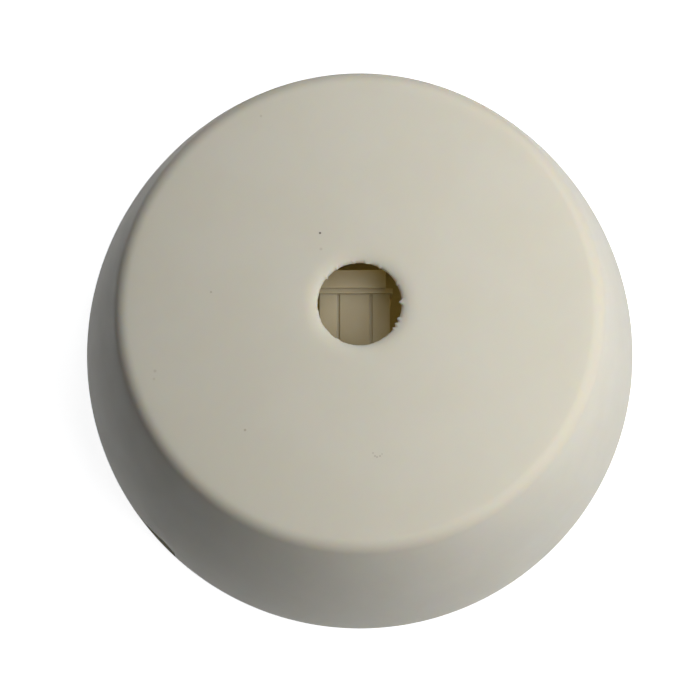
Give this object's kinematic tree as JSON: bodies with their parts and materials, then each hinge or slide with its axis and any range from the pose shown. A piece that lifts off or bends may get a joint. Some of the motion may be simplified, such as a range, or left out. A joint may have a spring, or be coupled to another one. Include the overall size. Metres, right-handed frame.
{
  "type": "electrical ceiling rose",
  "caption": "Cone-shaped ceiling rose with a screw-on cover, a pendant cord hole and a base that carries brass loop-in terminals.",
  "frame": {"origin": "centre of the back, on the plane where the rose meets the ceiling", "axes": "+Z out of the ceiling along the axis, towards the face of the cover; X along the terminal row; +Y from the centre towards the terminal row"},
  "size_m": [0.08, 0.08, 0.0332],
  "materials": {
    "cover": "cream moulded plastic, satin",
    "base": "cream moulded plastic, matt",
    "shroud": "off-white moulded plastic",
    "terminal": "drawn brass bar, dull",
    "screw": "turned brass, brighter"
  },
  "bodies": {
    "base": {"base": "base", "loop_shroud": "shroud", "neutral_terminal": "terminal", "neutral_screw_1": "screw", "neutral_screw_2": "screw", "neutral_screw_3": "screw", "loop_terminal": "terminal", "loop_screw_1": "screw", "loop_screw_2": "screw", "loop_screw_3": "screw", "switched_terminal": "terminal", "switched_screw_1": "screw", "switched_screw_2": "screw", "earth_terminal": "terminal", "earth_screw_1": "screw", "earth_screw_2": "screw"},
    "cover": {"cover": "cover"}
  },
  "joints": [
    {"name": "cover_lift", "type": "slide", "parent": "base", "child": "cover", "axis": [0, 0, 1], "range_m": [0, 0.04]}
  ]
}
